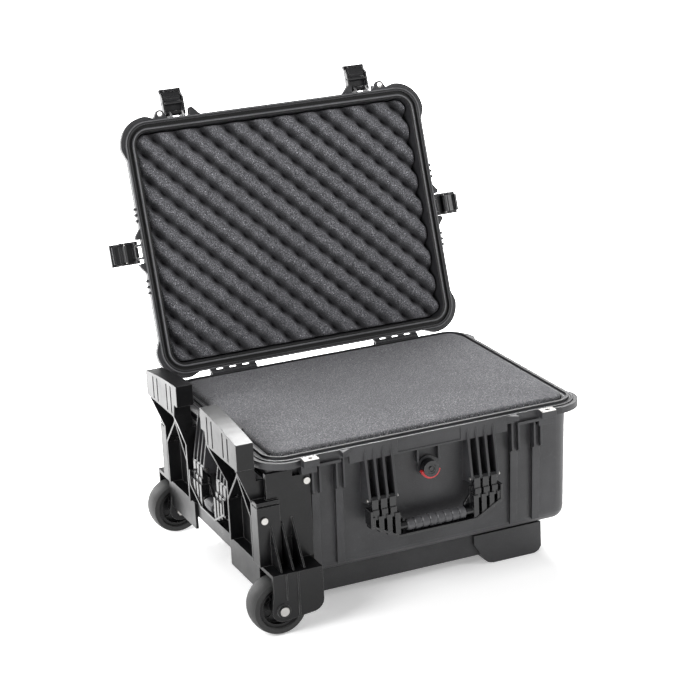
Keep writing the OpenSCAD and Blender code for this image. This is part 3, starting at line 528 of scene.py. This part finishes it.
# Each row: a body, then the height of its rim face above the rim's middle plane
for body, face in (("lid", 0.00030), ("base", -0.00030)):
    # Light lines are painted highlights on the lips; the dark lines in seal rubber are painted
    # shadow in the grooves beside them
    rim_line(body + "_inner_lip", body, (-0.0166, -0.0142), face, 0.00025, painted_lip_highlight)
    rim_line(body + "_lip_shadow", body, (-0.0199, -0.0170), face, 0.00005, seal_rubber)
    rim_line(body + "_outer_lip", body, (-0.0028, -0.0008), face, 0.00025, painted_lip_highlight)
    rim_line(body + "_step_shadow", body, (-0.0048, -0.0032), face, 0.00005, seal_rubber)

# ---- Floor, light and camera ---------------------------------------------------
ROOM_LIGHT = 0.40
FLOOR_HALF = 14.0
# The floor's own glow in front of the case and behind it, and where it reaches the second
FLOOR_GLOW = (0.30, 3.0)
GLOW_REACH = 1.1
# Each row: name, place, side in metres and power in watts
SOFT_BOXES = [
    ("left_box", (-2.4, -1.0, 1.6), 1.4, 64.0),
    ("top_box", (0.9, 1.9, 2.7), 1.5, 185.0),
    ("back_box", (-1.6, 3.0, 1.3), 1.8, 60.0),
    ("right_box", (2.4, -2.0, 1.4), 1.0, 26.0),
]
AIM_HEIGHT = 0.25
# Camera: azimuth, height angle and tilt in degrees, then metres back, to the right and up
VIEW_ANGLES = (-23.576, 18.386, -2.684)
VIEW_PLACE = (3.790, -0.0369, 0.0744)
SENSOR_MM, LENS_MM = 36.0, 108.36


def studio():
    """White floor that grows brighter towards the back, a dim room and four soft boxes."""
    mesh = bpy.data.meshes.new("floor")
    corners = [(sx * FLOOR_HALF, sy * FLOOR_HALF, 0)
               for sx, sy in ((-1, -1), (1, -1), (1, 1), (-1, 1))]
    mesh.from_pydata(corners, [], [(0, 1, 2, 3)])
    floor = bpy.data.objects.new("floor", mesh)
    bpy.context.scene.collection.objects.link(floor)
    p = Paint("floor_white", Roughness=0.9, Specular_IOR_Level=0.1,
              Emission_Color=(1, 1, 1, 1))
    back = p.node("SeparateXYZ", {"Vector": p.coords}).outputs["Y"]
    glow = p.grey(back, 0.0, GLOW_REACH, FLOOR_GLOW[0], FLOOR_GLOW[1])
    white = p.ramp(p.noise(2.0), [(0.0, (0.93, 0.93, 0.93)), (1.0, (0.96, 0.96, 0.96))])
    mesh.materials.append(p.put(Base_Color=white, Emission_Strength=glow))
    world = bpy.data.worlds.new("studio")
    world.use_nodes = True
    world.node_tree.nodes["Background"].inputs["Color"].default_value = (1, 1, 1, 1)
    world.node_tree.nodes["Background"].inputs["Strength"].default_value = ROOM_LIGHT
    bpy.context.scene.world = world
    for name, place, wide, power in SOFT_BOXES:
        light = bpy.data.lights.new(name, "AREA")
        light.size = wide
        light.energy = power
        obj = bpy.data.objects.new(name, light)
        bpy.context.scene.collection.objects.link(obj)
        obj.location = place
        aim = Vector((0, middle_y, AIM_HEIGHT)) - obj.location
        obj.rotation_euler = aim.to_track_quat("-Z", "Y").to_euler()
    bpy.context.scene.view_settings.view_transform = "Standard"


def camera():
    """Long lens from the front left, looking down: the camera stands on a line of azimuth,
    height angle and distance from the rim's middle, moved sideways and up in its own plane
    and tilted about its line of sight."""
    azimuth, height, tilt = np.radians(VIEW_ANGLES)
    back = np.array([np.sin(azimuth) * np.cos(height), -np.cos(azimuth) * np.cos(height),
                     np.sin(height)])
    right = np.array([np.cos(azimuth), np.sin(azimuth), 0.0])
    up = np.cross(back, right)
    right, up = (np.cos(tilt) * right + np.sin(tilt) * up,
                 -np.sin(tilt) * right + np.cos(tilt) * up)
    away, aside, above = VIEW_PLACE
    place = case_points([0, 0, 0]) + away * back + aside * right + above * up
    lens = bpy.data.cameras.new("camera")
    lens.sensor_width = SENSOR_MM
    lens.lens = LENS_MM
    obj = bpy.data.objects.new("camera", lens)
    bpy.context.scene.collection.objects.link(obj)
    turn = Matrix([[right[k], up[k], back[k], place[k]] for k in range(3)] + [[0, 0, 0, 1]])
    obj.matrix_world = turn
    bpy.context.scene.camera = obj


studio()
camera()
